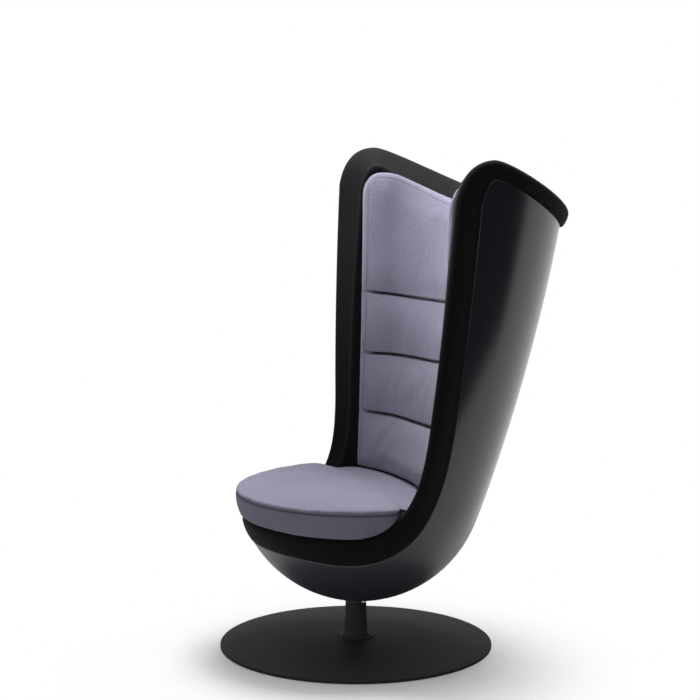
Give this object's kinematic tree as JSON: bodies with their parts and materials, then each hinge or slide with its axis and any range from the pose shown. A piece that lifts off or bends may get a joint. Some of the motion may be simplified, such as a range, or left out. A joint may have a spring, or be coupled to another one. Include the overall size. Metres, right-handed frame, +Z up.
{
  "type": "swivel lounge chair",
  "caption": "High-backed pod chair: a padded tub with side wings and a round seat cushion, swivelling on a column over a flat disc base.",
  "frame": {"origin": "on the floor at the centre of the base disc's underside, on the swivel axis", "axes": "+Z up along the swivel axis, -Y the way a sitter faces, +X to the sitter's left"},
  "size_m": [0.8705, 0.8887, 1.2619],
  "materials": {
    "powder_black": "fine-texture powder coat, charcoal",
    "shell_black": "satin moulded",
    "black_plastic": "matt moulded",
    "nylon": "natural, machined",
    "zinc_steel": "zinc plated",
    "raw_steel": "oiled bare steel",
    "black_fabric": "plain woven wool mix over foam",
    "lavender_fabric": "plain woven wool mix over foam",
    "foam": "cut foam",
    "plywood": "plain plywood",
    "felt": "felt"
  },
  "bodies": {
    "base": {"floor_pad": "felt", "ballast_plate": "raw_steel", "base_cover": "powder_black", "hub_boss": "raw_steel", "column": "powder_black", "base_screw_1": "zinc_steel", "base_screw_2": "zinc_steel", "base_screw_3": "zinc_steel", "base_screw_4": "zinc_steel", "upper_bush": "nylon", "lower_bush": "nylon", "thrust_washer": "zinc_steel", "collar": "black_plastic"},
    "seat": {"spindle": "raw_steel", "clip_washer": "zinc_steel", "retaining_clip": "raw_steel", "seat_plate": "raw_steel", "plate_bolt_1": "zinc_steel", "plate_bolt_2": "zinc_steel", "plate_bolt_3": "zinc_steel", "plate_bolt_4": "zinc_steel", "plate_washer_1": "zinc_steel", "plate_washer_2": "zinc_steel", "plate_washer_3": "zinc_steel", "plate_washer_4": "zinc_steel", "shell_post_1": "black_plastic", "shell_post_2": "black_plastic", "shell_post_3": "black_plastic", "shell_post_4": "black_plastic", "shell_screw_1": "zinc_steel", "shell_screw_2": "zinc_steel", "shell_screw_3": "zinc_steel", "shell_screw_4": "zinc_steel", "outer_shell": "shell_black", "inner_shell": "black_plastic", "seat_board": "plywood", "board_screw_1": "zinc_steel", "board_screw_2": "zinc_steel", "board_screw_3": "zinc_steel", "board_screw_4": "zinc_steel", "seat_base_foam": "foam", "liner": "black_fabric", "seat_strip_1": "felt", "seat_strip_2": "felt", "back_strip_1": "felt", "back_strip_2": "felt", "seat_cushion": "lavender_fabric", "back_cushion": "lavender_fabric"}
  },
  "joints": [
    {"name": "seat_swivel", "type": "hinge", "parent": "base", "child": "seat", "pos_m": [0, 0, 0.1], "axis": [0, 0, 1], "continuous": true}
  ]
}
